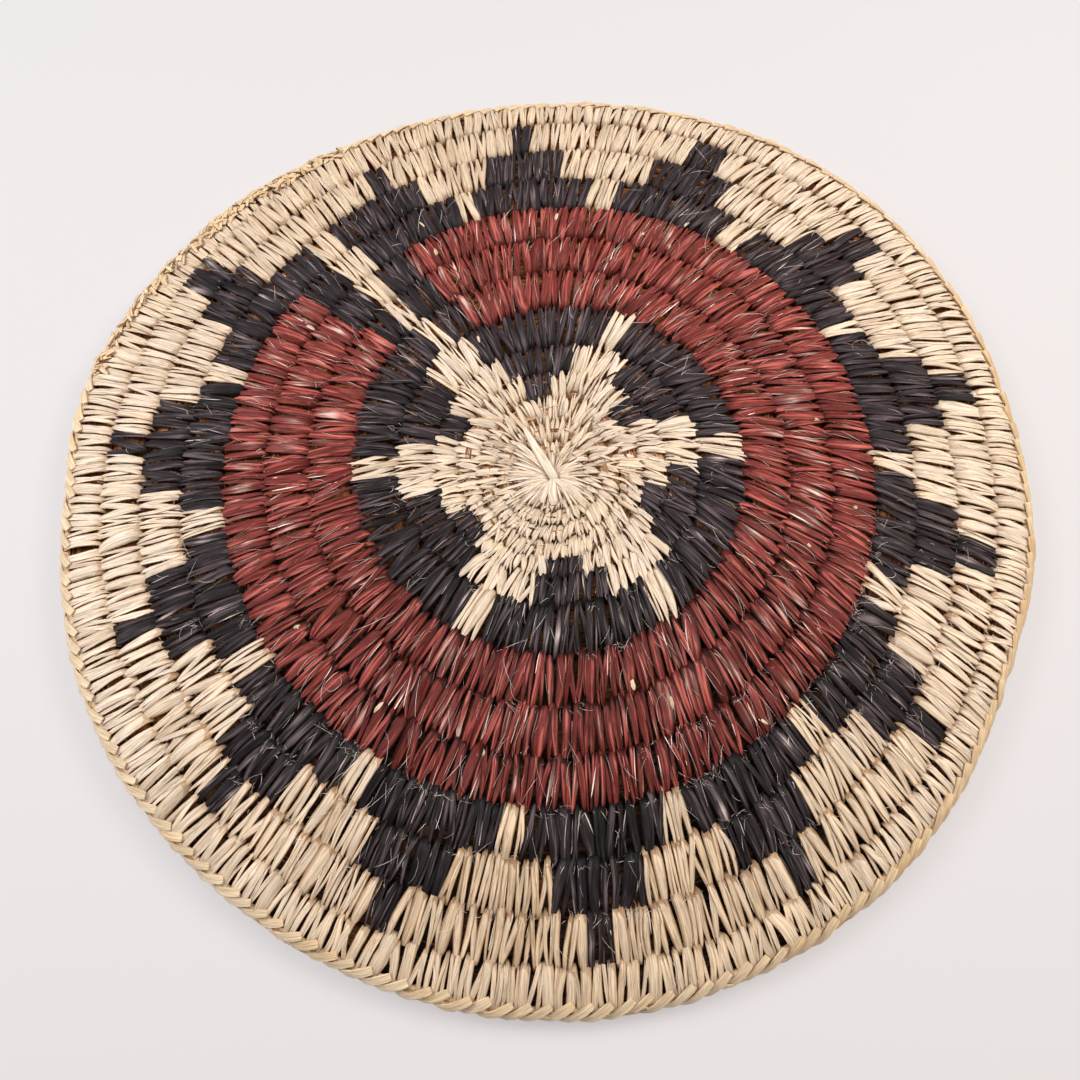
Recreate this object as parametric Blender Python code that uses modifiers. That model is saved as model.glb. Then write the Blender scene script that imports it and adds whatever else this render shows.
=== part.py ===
"""Coiled ceremonial basket: a flat plaque sewn from one spiral fibre bundle.

Metres, +Z up, origin on the flat underside of the start knot. The basket lies
on its underside, with its patterned face up. Seen from above the coil winds
outward clockwise, so turns are counted inward from the coil's outer end and
the angle grows anticlockwise with them.
"""
import math

import bmesh
import bpy
from mathutils import Vector

MM = 0.001

# Driving sizes
RIM_RADIUS = 180 * MM
ROW_HEIGHT = 14 * MM
CENTRE_ROW_HEIGHT = 9 * MM
COIL_END_HEIGHT = 10 * MM
WRAP_WALL = 0.9 * MM
FOUNDATION_CLEARANCE = 0.3 * MM
ROW_GAP = 0.6 * MM
RUN_GAP = 0.5 * MM
BRAID_RADIUS = 2.0 * MM
BRAID_OVERHANG = 2.6 * MM
BRAID_CLEARANCE = 0.35 * MM
CATCH_WIDTH = 3.0 * MM
CATCH_HEIGHT = 2.4 * MM
KNOT_BEVEL = 1.0 * MM
TAIL_LENGTH = 19 * MM
TAIL_WIDTH = 4.2 * MM
TAIL_THICKNESS = 0.8 * MM
TAIL_CLEARANCE = 0.35 * MM

# Counts and directions
STATIONS_A_TURN = 20
SECTION_SIDES = 6
COIL_END_DEGREES = 121
TAIL_DEGREES = 111
BRAID_TURNS = (0.01, 0.97)

# The seams between rows as shares of the rim radius, one for each whole turn
# from the coil's outer end to the start knot.
SEAM_SHARES = (1.042, 0.958, 0.881, 0.800, 0.716, 0.631, 0.544, 0.451, 0.360,
               0.274, 0.218, 0.168, 0.124, 0.085, 0.049, 0.016)
COIL_TURNS = len(SEAM_SHARES) - 2

# Hand work is never quite round: the rows drift off centre, most at a third
# of the way out, and the rim waves. (seam share, drift in X, drift in Y)
DRIFT_SHARES = ((0.05, 0.0, 0.0), (0.30, 0.022, 0.047), (1.0, 0.019, 0.015))
WAVE_TWO_SHARE = 0.0094
WAVE_TWO_DEGREES = -27
WAVE_THREE_SHARE = 0.0072
WAVE_THREE_DEGREES = -40

# The last stretch of the coil is thinned to blend into the row inside it.
END_THINNING_SHARE = 0.040
END_TURNS = 0.13
BRAID_FADE_TURNS = 0.05

# The bundle is thinner from the knot to the first seam share here and has its
# full height from the second one outward.
HEIGHT_RISE_SHARES = (0.13, 0.42)

# A row's section is a hexagon that stands on a flat side. Its top and bottom
# sides span this share of its width.
FLAT_SIDE_SHARE = 0.58

# How far a catch stitch goes into each wrap's wall.
CATCH_BITE_SHARE = 0.8

# The rows, from the rim to the start knot, by the whole turns outside them.
RIM_TURNS, TIP_TURNS, STEP_TURNS, BASE_TURNS = 0, 1, 2, 3
RED_OUTER_TURNS, RED_MIDDLE_TURNS, RED_INNER_TURNS = 4, 5, 6
STAR_OUTER_TURNS, STAR_MIDDLE_TURNS, STAR_INNER_TURNS = 7, 8, 9
CENTRE_TURNS = 10

# The sewn pattern. Each run of stitches in one colour starts and ends at these
# degrees, read anticlockwise from +X and counted on past 360 to the coil's end
# direction, where one row passes into the next.
OUTER_TIP_DEGREES = (
    (141.6, 147), (169.7, 173), (196, 198.8), (219.7, 223), (244.4, 247.5), (270, 273), (295, 298),
    (318.8, 321.8), (342.8, 346.6), (367, 371.5), (392.5, 397.5), (419, 424), (449, 452), (473, 476))
OUTER_STEP_DEGREES = (
    (140, 149.7), (164, 178.4), (191, 203.4), (216, 227.5), (240.6, 252), (266, 278), (290, 302),
    (316, 326.6), (341, 351.6), (364.4, 376), (390.6, 401.6), (416, 429), (444, 457), (468.8, 481))
OUTER_BASE_DEGREES = (
    (131, 156), (159.4, 182), (186, 207), (211, 233.4), (237, 257.8), (261.6, 282.8), (286.9, 307.8),
    (312, 332.8), (337.8, 356.6), (360.5, 383), (385.6, 408), (412.8, 434), (438.8, 460.6),
    (463.8, 481))
PATHWAY_DEGREES = {BASE_TURNS: (126, 131), RED_OUTER_TURNS: (124, 130),
                   RED_MIDDLE_TURNS: (124.7, 129.7), RED_INNER_TURNS: (124.5, 128.5)}
RED_ROW_DEGREES = {RED_OUTER_TURNS: (137.5, 477.5), RED_MIDDLE_TURNS: (137.5, 475.6),
                   RED_INNER_TURNS: (134.5, 472.5)}
STAR_TIP_DEGREES = ((169.7, 176.6), (234, 243), (302.5, 310.6), (363, 371), (420, 427))
STAR_SHOULDER_DEGREES = ((161, 184.7), (223.8, 257), (293, 324), (362, 384), (415, 436.6))
STAR_ROOT_DEGREES = ((153, 195), (217.5, 262), (285, 336), (353.4, 392), (406, 445))
PATHWAY_TIP_DEGREES = (121, 126, 475)
PATHWAY_SHOULDER_DEGREES = (133.8, 468)
PATHWAY_ROOT_DEGREES = (140, 461)

# Finishes: base colour, roughness
STRAW = ((0.76, 0.62, 0.42, 1.0), 0.55)
BLACK_DYED = ((0.045, 0.040, 0.045, 1.0), 0.5)
RED_DYED = ((0.30, 0.065, 0.055, 1.0), 0.55)
FIBRE_BUNDLE = ((0.23, 0.10, 0.05, 1.0), 0.8)


def turns_at(row, degrees):
    """Turns from the coil's outer end to a direction in a row."""
    return row + (degrees - COIL_END_DEGREES) / 360


def direction(turns):
    """The angle in radians, anticlockwise from +X, after so many turns."""
    return math.radians(COIL_END_DEGREES + 360 * turns)


def smooth_share(value, low, high):
    """Rises smoothly from 0 at low to 1 at high."""
    share = min(max((value - low) / (high - low), 0.0), 1.0)
    return share * share * (3 - 2 * share)


def seam_share(turns):
    """Share of the rim radius at a seam, on a smooth curve through SEAM_SHARES."""
    last = len(SEAM_SHARES) - 1
    index = min(max(int(turns), 0), last - 1)
    step = turns - index
    before = SEAM_SHARES[max(index - 1, 0)]
    start, end = SEAM_SHARES[index], SEAM_SHARES[index + 1]
    after = SEAM_SHARES[min(index + 2, last)]
    slope_start, slope_end = (end - before) / 2, (after - start) / 2
    if index == 0:
        slope_start = end - start
    if index == last - 1:
        slope_end = end - start
    square, cube = step ** 2, step ** 3
    return (start * (2 * cube - 3 * square + 1) + slope_start * (cube - 2 * square + step)
            + end * (3 * square - 2 * cube) + slope_end * (cube - square))


def drift(share):
    """How far a row's centre has drifted, as shares of the rim radius."""
    for (low, x_low, y_low), (high, x_high, y_high) in zip(DRIFT_SHARES, DRIFT_SHARES[1:]):
        if share <= high or high == DRIFT_SHARES[-1][0]:
            step = max((share - low) / (high - low), 0.0)
            return x_low + (x_high - x_low) * step, y_low + (y_high - y_low) * step
    return 0.0, 0.0


def seam_radius(turns):
    """Distance from the origin to the seam, with the basket's own unevenness."""
    share = seam_share(turns)
    angle = direction(turns)
    drift_x, drift_y = drift(share)
    wave = (WAVE_TWO_SHARE * math.sin(2 * angle + math.radians(WAVE_TWO_DEGREES))
            + WAVE_THREE_SHARE * math.sin(3 * angle + math.radians(WAVE_THREE_DEGREES)))
    uneven = drift_x * math.cos(angle) + drift_y * math.sin(angle) + wave * share ** 2
    return RIM_RADIUS * (share + uneven)


def rim_edge_radius(turns):
    """Outer edge of the rim row under its braid, thinned towards the coil's end."""
    thinning = END_THINNING_SHARE * math.cos(math.pi / 2 * min(turns / END_TURNS, 1.0))
    room = BRAID_OVERHANG * (1 - smooth_share(turns, 1 - BRAID_FADE_TURNS, 1))
    return seam_radius(turns) - RIM_RADIUS * thinning - room


def row_height(turns):
    """Height of the wrapped coil above the surface that it lies on."""
    share = (seam_share(turns) + seam_share(turns + 1)) / 2
    rise = smooth_share(share, *HEIGHT_RISE_SHARES)
    full = CENTRE_ROW_HEIGHT + (ROW_HEIGHT - CENTRE_ROW_HEIGHT) * rise
    end_rise = smooth_share(turns, 0, END_TURNS)
    return COIL_END_HEIGHT + (full - COIL_END_HEIGHT) * end_rise


def row_edges(turns):
    """Inner and outer radius of the wrapped row at this many turns."""
    outer = rim_edge_radius(turns) if turns < 1 else seam_radius(turns)
    return seam_radius(turns + 1) + ROW_GAP / 2, outer - ROW_GAP / 2


def hexagon(half_width, half_height, inset):
    """Corners of the row's section, each side moved in by the inset."""
    lean = (1 - FLAT_SIDE_SHARE) * half_width
    slant = math.hypot(half_height, lean)
    side = half_width - inset * slant / half_height
    level = half_height - inset
    flat = side - lean * level / half_height
    return ((side, 0), (flat, level), (-flat, level), (-side, 0), (-flat, -level), (flat, -level))


def station_section(index, inset):
    """The row's section at a station, in the upright plane through the origin."""
    turns = index / STATIONS_A_TURN
    inner, outer = row_edges(turns)
    height = row_height(turns)
    angle = direction(turns)
    outward = Vector((math.cos(angle), math.sin(angle), 0))
    centre = outward * (inner + outer) / 2 + Vector((0, 0, height / 2))
    corners = hexagon((outer - inner) / 2, height / 2, inset)
    return [centre + outward * x + Vector((0, 0, z)) for x, z in corners]


def section(turns, inset=0.0):
    """The row's section anywhere along the coil, on the straight between stations."""
    place = turns * STATIONS_A_TURN
    index = math.floor(place + 1e-9)
    step = place - index
    here = station_section(index, inset)
    if step < 1e-6:
        return here
    ahead = station_section(index + 1, inset)
    return [start.lerp(end, step) for start, end in zip(here, ahead)]


def stops_between(start, end):
    """The start, the stations between and the end, in turns."""
    first = math.floor(start * STATIONS_A_TURN + 1e-6) + 1
    last = math.ceil(end * STATIONS_A_TURN - 1e-6)
    return [start] + [index / STATIONS_A_TURN for index in range(first, last)] + [end]


def loft(mesh, rings, inward=False):
    """Skins a row of like-numbered rings, and returns their vertices."""
    levels = [[mesh.verts.new(point) for point in ring] for ring in rings]
    for ring, following in zip(levels, levels[1:]):
        for side in range(len(ring)):
            corner = (side + 1) % len(ring)
            face = [ring[side], ring[corner], following[corner], following[side]]
            mesh.faces.new(face if inward else face[::-1])
    return levels


def add_sleeve(mesh, start, end):
    """Wraps one run of the coil: a tube with the foundation's bore through it."""
    stops = stops_between(start, end)
    outside = loft(mesh, [section(stop) for stop in stops])
    bore = loft(mesh, [section(stop, WRAP_WALL) for stop in stops], inward=True)
    for level, flip in ((0, False), (-1, True)):
        for side in range(SECTION_SIDES):
            corner = (side + 1) % SECTION_SIDES
            face = [outside[level][side], outside[level][corner],
                    bore[level][corner], bore[level][side]]
            mesh.faces.new(face[::-1] if flip else face)


def add_tube(mesh, rings):
    """A solid tube with closed ends."""
    levels = loft(mesh, rings)
    mesh.faces.new(levels[0])
    mesh.faces.new(levels[-1][::-1])


def shortened(run):
    """A run in turns, drawn back at each end to part it from its neighbour."""
    start, end = run
    start_length = 2 * math.pi * sum(row_edges(start)) / 2
    end_length = 2 * math.pi * sum(row_edges(end)) / 2
    return start + RUN_GAP / 2 / start_length, end - RUN_GAP / 2 / end_length


def catch_places(runs):
    """Where two runs of one piece lie in neighbouring rows, in turns of the outer one."""
    places = []
    for start, end in runs:
        for inner_start, inner_end in runs:
            low = max(start, inner_start - 1)
            high = min(end, inner_end - 1)
            if high > low and inner_start > start:
                places.append((low + high) / 2)
    return places


def add_catch(mesh, turns):
    """A catch stitch: the splint that passes from one row into the next."""
    outer_row = section(turns)[3]
    inner_row = section(turns + 1)[0]
    across = (outer_row - inner_row).to_2d().to_3d()
    outward = across.normalized()
    length = across.length + 2 * WRAP_WALL * CATCH_BITE_SHARE
    centre = (outer_row + inner_row) / 2
    along = Vector((0, 0, 1)).cross(outward)
    corners = bmesh.ops.create_cube(mesh, size=1.0)["verts"]
    for corner in corners:
        x, y, z = corner.co
        corner.co = (centre + outward * x * length + along * y * CATCH_WIDTH
                     + Vector((0, 0, z * CATCH_HEIGHT)))


def finish_material(name, finish):
    """One material a finish, shared by the pieces that have it."""
    material = bpy.data.materials.get(name)
    if material is None:
        material = bpy.data.materials.new(name)
        material.use_nodes = True
        shader = material.node_tree.nodes["Principled BSDF"]
        shader.inputs["Base Color"].default_value = finish[0]
        shader.inputs["Roughness"].default_value = finish[1]
        shader.inputs["Metallic"].default_value = 0.0
    return material


MATERIALS = {"straw": STRAW, "black_dyed": BLACK_DYED, "red_dyed": RED_DYED,
             "fibre_bundle": FIBRE_BUNDLE}


def new_object(name, mesh, collection, finish=None):
    """Turns a bmesh into a named object in a collection."""
    data = bpy.data.meshes.new(name)
    mesh.to_mesh(data)
    mesh.free()
    thing = bpy.data.objects.new(name, data)
    collection.objects.link(thing)
    if finish:
        data.materials.append(finish_material(finish, MATERIALS[finish]))
    return thing


def make_wrap(name, runs, finish, basket, guides):
    """One wrapped piece of the pattern, its rows joined by catch stitches."""
    mesh = bmesh.new()
    for run in runs:
        add_sleeve(mesh, *shortened(run))
    wrap = new_object(name, mesh, basket, finish)
    places = catch_places(runs) if len(runs) > 1 else []
    if places:
        mesh = bmesh.new()
        for place in places:
            add_catch(mesh, place)
        catches = new_object(name + "_catches", mesh, guides)
        catches.hide_render = True
        catches.display_type = "WIRE"
        union = wrap.modifiers.new("catch stitches", "BOOLEAN")
        union.operation = "UNION"
        union.object = catches


def foundation_inset():
    """How far the foundation lies inside the wrapped surface."""
    return WRAP_WALL + FOUNDATION_CLEARANCE


def make_foundation(basket):
    """The fibre bundle: one unbroken tapered tube, wound from rim to centre."""
    stops = stops_between(*shortened((0, COIL_TURNS)))
    mesh = bmesh.new()
    add_tube(mesh, [section(stop, foundation_inset()) for stop in stops])
    new_object("foundation_coil", mesh, basket, "fibre_bundle")
    print(f"foundation_coil: {COIL_TURNS} loops, least gap to itself "
          f"{least_gap() / MM:.2f} mm")


def least_gap():
    """The smallest distance between points of the foundation in neighbouring loops."""
    gaps = []
    for index in range((COIL_TURNS - 1) * STATIONS_A_TURN):
        outer_loop = station_section(index, foundation_inset())
        inner_loop = station_section(index + STATIONS_A_TURN, foundation_inset())
        gaps.append(min((a - b).length for a in outer_loop for b in inner_loop))
    return min(gaps)


def make_braid(basket):
    """The rim's herringbone braid, as the round cord that its splints form."""
    rings = []
    for stop in stops_between(*BRAID_TURNS):
        corners = section(stop)
        side, shoulder, far_side = corners[0], corners[1], corners[3]
        outward = (side - far_side).to_2d().to_3d().normalized()
        slant = shoulder - side
        normal = (outward * slant.z - Vector((0, 0, slant.dot(outward)))).normalized()
        centre = (side + shoulder) / 2 + normal * (BRAID_RADIUS + BRAID_CLEARANCE)
        ring = []
        for side_index in range(SECTION_SIDES):
            angle = 2 * math.pi * side_index / SECTION_SIDES
            ring.append(centre + outward * BRAID_RADIUS * math.cos(angle)
                        + Vector((0, 0, BRAID_RADIUS * math.sin(angle))))
        rings.append(ring)
    mesh = bmesh.new()
    add_tube(mesh, rings)
    new_object("rim_braid", mesh, basket, "straw")


def make_knot(basket):
    """The start knot: fills the innermost loop and is flat underneath."""
    data = bpy.data.curves.new("start_knot", "CURVE")
    data.dimensions = "2D"
    data.fill_mode = "BOTH"
    data.extrude = CENTRE_ROW_HEIGHT / 2 - KNOT_BEVEL
    data.bevel_depth = KNOT_BEVEL
    data.bevel_resolution = 0
    data.offset = -KNOT_BEVEL
    outline = data.splines.new("POLY")
    outline.use_cyclic_u = True
    outline.points.add(STATIONS_A_TURN)
    for index, point in enumerate(outline.points):
        turns = COIL_TURNS + index / STATIONS_A_TURN
        angle = direction(turns)
        radius = seam_radius(turns) - ROW_GAP / 2
        point.co = (radius * math.cos(angle), radius * math.sin(angle), 0, 1)
    knot = bpy.data.objects.new("start_knot", data)
    knot.location.z = CENTRE_ROW_HEIGHT / 2
    basket.objects.link(knot)
    data.materials.append(finish_material("straw", STRAW))


def make_tail(basket):
    """The broad splint end that lies from the knot over the first rows."""
    mesh = bmesh.new()
    corners = bmesh.ops.create_cube(mesh, size=1.0)["verts"]
    for corner in corners:
        x, y, z = corner.co
        corner.co = (x * TAIL_LENGTH, y * TAIL_WIDTH, z * TAIL_THICKNESS)
    tail = new_object("start_tail", mesh, basket, "straw")
    angle = math.radians(TAIL_DEGREES)
    tail.rotation_euler.z = angle
    level = CENTRE_ROW_HEIGHT + TAIL_CLEARANCE + TAIL_THICKNESS / 2
    tail.location = (math.cos(angle) * TAIL_LENGTH / 2, math.sin(angle) * TAIL_LENGTH / 2, level)
    rounding = tail.modifiers.new("worn corners", "BEVEL")
    rounding.width = TAIL_THICKNESS / 4
    rounding.segments = 1


def row_runs(row, places):
    """Runs in one row, in turns."""
    return [(turns_at(row, start), turns_at(row, end)) for start, end in places]


def gaps_between(places):
    """The runs that lie between neighbouring runs of a row."""
    return [(end, start) for (_, end), (start, _) in zip(places, places[1:])]


def outer_pattern():
    """The black stepped motifs round the rim and the straw between them."""
    pieces = []
    motifs = list(zip(row_runs(TIP_TURNS, OUTER_TIP_DEGREES),
                      row_runs(STEP_TURNS, OUTER_STEP_DEGREES),
                      row_runs(BASE_TURNS, OUTER_BASE_DEGREES)))
    # The last motif's step and base pass the coil's end direction.
    tip, (step_start, _), (base_start, _) = motifs[-1]
    motifs[-1] = (tip, (step_start, turns_at(BASE_TURNS, PATHWAY_DEGREES[BASE_TURNS][0])),
                  (base_start, turns_at(RED_OUTER_TURNS, PATHWAY_DEGREES[RED_OUTER_TURNS][0])))
    for number, runs in enumerate(motifs, 1):
        pieces.append((f"outer_motif_{number:02d}", list(runs), "black_dyed"))
    grounds = zip(row_runs(TIP_TURNS, gaps_between(OUTER_TIP_DEGREES)),
                  row_runs(STEP_TURNS, gaps_between(OUTER_STEP_DEGREES)),
                  row_runs(BASE_TURNS, gaps_between(OUTER_BASE_DEGREES)))
    for number, runs in enumerate(grounds, 1):
        pieces.append((f"outer_ground_{number:02d}", list(runs), "straw"))
    return pieces


def pathway_pattern():
    """The straw pathway through the bands and its black borders."""
    pathway = [(turns_at(TIP_TURNS, OUTER_TIP_DEGREES[-1][1]),
                turns_at(STEP_TURNS, OUTER_STEP_DEGREES[0][0]))]
    pathway += [(turns_at(row, start), turns_at(row, end))
                for row, (start, end) in PATHWAY_DEGREES.items()]
    left = [(turns_at(row, PATHWAY_DEGREES[row][1]), turns_at(row, RED_ROW_DEGREES[row][0]))
            for row in RED_ROW_DEGREES]
    right = [(turns_at(row, RED_ROW_DEGREES[row][1]),
              turns_at(row + 1, PATHWAY_DEGREES[row + 1][0]))
             for row in (RED_OUTER_TURNS, RED_MIDDLE_TURNS)]
    right.append((turns_at(RED_INNER_TURNS, RED_ROW_DEGREES[RED_INNER_TURNS][1]),
                  float(STAR_OUTER_TURNS)))
    return [("pathway", pathway, "straw"), ("pathway_border_left", left, "black_dyed"),
            ("pathway_border_right", right, "black_dyed")]


def black_beside(straw, first, last):
    """Black runs before, between and after the straw runs of a star row."""
    edges = [first] + [edge for run in straw for edge in run] + [last]
    return list(zip(edges[0::2], edges[1::2]))


def star_pattern():
    """The straw star's arms and the black steps between them."""
    pieces = []
    arms = zip(row_runs(STAR_OUTER_TURNS, STAR_TIP_DEGREES),
               row_runs(STAR_MIDDLE_TURNS, STAR_SHOULDER_DEGREES),
               row_runs(STAR_INNER_TURNS, STAR_ROOT_DEGREES))
    for number, runs in enumerate(arms, 1):
        pieces.append((f"star_arm_{number}", list(runs), "straw"))
    tip_start, tip_end, second_tip = PATHWAY_TIP_DEGREES
    shoulder_end, second_shoulder = PATHWAY_SHOULDER_DEGREES
    root_end, second_root = PATHWAY_ROOT_DEGREES
    pathway_arm = [
        (turns_at(STAR_OUTER_TURNS, tip_start), turns_at(STAR_OUTER_TURNS, tip_end)),
        (turns_at(STAR_OUTER_TURNS, second_tip), turns_at(STAR_MIDDLE_TURNS, shoulder_end)),
        (turns_at(STAR_MIDDLE_TURNS, second_shoulder), turns_at(STAR_INNER_TURNS, root_end)),
        (turns_at(STAR_INNER_TURNS, second_root), float(CENTRE_TURNS))]
    pieces.append((f"star_arm_{len(pieces) + 1}", pathway_arm, "straw"))
    tip_steps = black_beside(STAR_TIP_DEGREES, tip_end, second_tip)
    shoulder_steps = black_beside(STAR_SHOULDER_DEGREES, shoulder_end, second_shoulder)
    root_steps = black_beside(STAR_ROOT_DEGREES, root_end, second_root)
    steps = zip(row_runs(STAR_OUTER_TURNS, tip_steps),
                row_runs(STAR_MIDDLE_TURNS, shoulder_steps),
                row_runs(STAR_INNER_TURNS, root_steps))
    for number, runs in enumerate(steps, 1):
        pieces.append((f"star_step_{number}", list(runs), "black_dyed"))
    return pieces


def plain_rows():
    """The rim row, the red rows and the straw centre, each one unbroken run."""
    rim = [(float(RIM_TURNS), turns_at(TIP_TURNS, OUTER_TIP_DEGREES[0][0]))]
    pieces = [("rim_row", rim, "straw")]
    for name, row in (("red_row_outer", RED_OUTER_TURNS), ("red_row_middle", RED_MIDDLE_TURNS),
                      ("red_row_inner", RED_INNER_TURNS)):
        pieces.append((name, row_runs(row, [RED_ROW_DEGREES[row]]), "red_dyed"))
    pieces.append(("centre_rows", [(float(CENTRE_TURNS), float(COIL_TURNS))], "straw"))
    return pieces


def new_collection(name):
    """A collection in the scene."""
    collection = bpy.data.collections.new(name)
    bpy.context.scene.collection.children.link(collection)
    return collection


def main():
    for thing in list(bpy.data.objects):
        bpy.data.objects.remove(thing, do_unlink=True)
    basket = new_collection("ceremonial_basket")
    guides = new_collection("guides")
    make_foundation(basket)
    make_knot(basket)
    make_tail(basket)
    make_braid(basket)
    for name, runs, finish in (plain_rows() + outer_pattern() + pathway_pattern()
                               + star_pattern()):
        make_wrap(name, runs, finish, basket, guides)


main()
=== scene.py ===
"""Looks of the coiled ceremonial basket: every splint stitch, the fibre bundle, the
herringbone rim and the knotted start, on a pale floor under soft light.

Metres, +Z up. The basket lies on z = 0 with its patterned face up. Turns are counted
inward from the coil's outer end, and the angle grows anticlockwise with them.
"""
import math
from collections import namedtuple

import bpy
import numpy as np
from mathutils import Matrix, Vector


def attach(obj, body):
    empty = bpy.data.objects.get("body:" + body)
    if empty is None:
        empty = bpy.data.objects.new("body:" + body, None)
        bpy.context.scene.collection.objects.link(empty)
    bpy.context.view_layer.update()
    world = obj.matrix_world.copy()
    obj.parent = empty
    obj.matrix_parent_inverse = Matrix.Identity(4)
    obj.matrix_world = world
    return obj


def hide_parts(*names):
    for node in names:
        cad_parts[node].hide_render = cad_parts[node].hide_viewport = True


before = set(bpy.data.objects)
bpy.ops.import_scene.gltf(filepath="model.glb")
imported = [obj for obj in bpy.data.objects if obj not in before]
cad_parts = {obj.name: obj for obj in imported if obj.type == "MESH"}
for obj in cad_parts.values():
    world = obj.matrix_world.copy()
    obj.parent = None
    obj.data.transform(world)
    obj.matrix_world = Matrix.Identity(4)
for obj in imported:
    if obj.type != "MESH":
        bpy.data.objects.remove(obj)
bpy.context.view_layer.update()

MM = 0.001
UP = np.array((0.0, 0.0, 1.0))
RANDOM = np.random.default_rng(20)

# The coil, with the same values as the solids. Shares are of the rim radius
RIM_RADIUS = 180 * MM
ROW_HEIGHT = 14 * MM
CENTRE_ROW_HEIGHT = 9 * MM
COIL_END_HEIGHT = 10 * MM
BRAID_OVERHANG = 2.6 * MM
COIL_END_DEGREES = 121
# The seams' radii, a turn apart
SEAM_SHARES = np.array((1.042, 0.958, 0.881, 0.800, 0.716, 0.631, 0.544, 0.451, 0.360,
                        0.274, 0.218, 0.168, 0.124, 0.085, 0.049, 0.016))
COIL_TURNS = len(SEAM_SHARES) - 2
# Radius, and how far a seam of that radius lies towards +X and +Y
DRIFT_SHARES = np.array(((0.05, 0.0, 0.0), (0.30, 0.022, 0.047), (1.0, 0.019, 0.015)))
WAVE_TWO_SHARE = 0.0094
WAVE_TWO_DEGREES = -27
WAVE_THREE_SHARE = 0.0072
WAVE_THREE_DEGREES = -40
END_THINNING_SHARE = 0.040
END_TURNS = 0.13
BRAID_FADE_TURNS = 0.05
HEIGHT_RISE_SHARES = (0.13, 0.42)

# The pattern's runs, in degrees anticlockwise from +X, counted on past 360
OUTER_TIPS = ((141.6, 147), (169.7, 173), (196, 198.8), (219.7, 223), (244.4, 247.5),
              (270, 273), (295, 298), (318.8, 321.8), (342.8, 346.6), (367, 371.5),
              (392.5, 397.5), (419, 424), (449, 452), (473, 476))
OUTER_STEPS = ((140, 149.7), (164, 178.4), (191, 203.4), (216, 227.5), (240.6, 252),
               (266, 278), (290, 302), (316, 326.6), (341, 351.6), (364.4, 376),
               (390.6, 401.6), (416, 429), (444, 457), (468.8, 481))
OUTER_BASES = ((131, 156), (159.4, 182), (186, 207), (211, 233.4), (237, 257.8),
               (261.6, 282.8), (286.9, 307.8), (312, 332.8), (337.8, 356.6), (360.5, 383),
               (385.6, 408), (412.8, 434), (438.8, 460.6), (463.8, 481))
PATHWAY_IN_ROWS = {3: (126, 131), 4: (124, 130), 5: (124.7, 129.7), 6: (124.5, 128.5)}
RED_IN_ROWS = {4: (137.5, 477.5), 5: (137.5, 475.6), 6: (134.5, 472.5)}
STAR_TIPS = ((169.7, 176.6), (234, 243), (302.5, 310.6), (363, 371), (420, 427))
STAR_SHOULDERS = ((161, 184.7), (223.8, 257), (293, 324), (362, 384), (415, 436.6))
STAR_ROOTS = ((153, 195), (217.5, 262), (285, 336), (353.4, 392), (406, 445))
PATHWAY_TIP = (121, 126, 475)
PATHWAY_SHOULDER = (133.8, 468)
PATHWAY_ROOT = (140, 461)

# One stitch round the bundle, from its hole at the inner seam over the top, down the
# outer side and back underneath: share across the row, share of its height, share of
# the splint's width
OUTER_STITCH = np.array((
    (-0.13, 0.76, 0.52), (-0.10, 0.90, 0.82), (-0.03, 0.975, 0.98), (0.12, 1.0, 1.03),
    (0.30, 1.01, 1.02), (0.50, 1.0, 0.97), (0.70, 0.985, 0.88), (0.87, 0.95, 0.76),
    (1.00, 0.88, 0.54), (1.03, 0.50, 0.44), (0.95, 0.20, 0.60), (0.78, 0.05, 0.75),
    (0.50, 0.0, 0.85), (0.18, 0.0, 0.88), (-0.02, 0.09, 0.75), (-0.12, 0.26, 0.5)))
# In the centre and the star its outer end is a long point that lies over the next row
CENTRE_STITCH = np.array((
    (-0.13, 0.58, 0.55), (-0.10, 0.73, 0.84), (-0.02, 0.85, 1.05), (0.14, 0.93, 1.15),
    (0.34, 0.98, 1.19), (0.56, 1.02, 1.15), (0.78, 1.045, 1.00), (0.94, 1.035, 0.70),
    (1.07, 0.98, 0.20), (1.04, 0.50, 0.20), (0.95, 0.20, 0.55), (0.78, 0.05, 0.75),
    (0.50, 0.0, 0.85), (0.18, 0.0, 0.88), (-0.02, 0.06, 0.75), (-0.09, 0.22, 0.5)))
# So many of the points lie on top
TOP_POINTS = 9
# How much lower a rim stitch is than another one, down the basket's outer edge
RIM_DROPS = np.array((0, 0, 0, 0, 0, 0, 0.01, 0.04, 0.10, 0.05) + (0,) * 6)
STITCH_BED = 0.55 * MM
# Turns, and how far the rim's edge stands out past the solids' edge there, in millimetres:
# the doubled braid by the coil's end, and small bulges
RIM_SWELL = np.array((
    (0.0, 1.0), (0.01, 2.2), (0.025, 4.6), (0.035, 4.8), (0.08, 4.3), (0.11, 3.8), (0.135, 1.4),
    (0.16, -0.6), (0.19, 0.8), (0.245, 1.7), (0.29, 0.2), (0.36, -1.0), (0.42, -0.6),
    (0.46, -1.6), (0.50, -0.9), (0.54, -1.5), (0.58, -2.8), (0.62, 0.0), (0.69, -0.9),
    (0.74, 0.7), (0.78, 1.0), (0.82, 0.2), (0.86, -0.8), (0.90, -0.9), (0.94, 1.0),
    (0.97, 2.4), (0.985, 2.3), (1.0, 2.6)))

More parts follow.
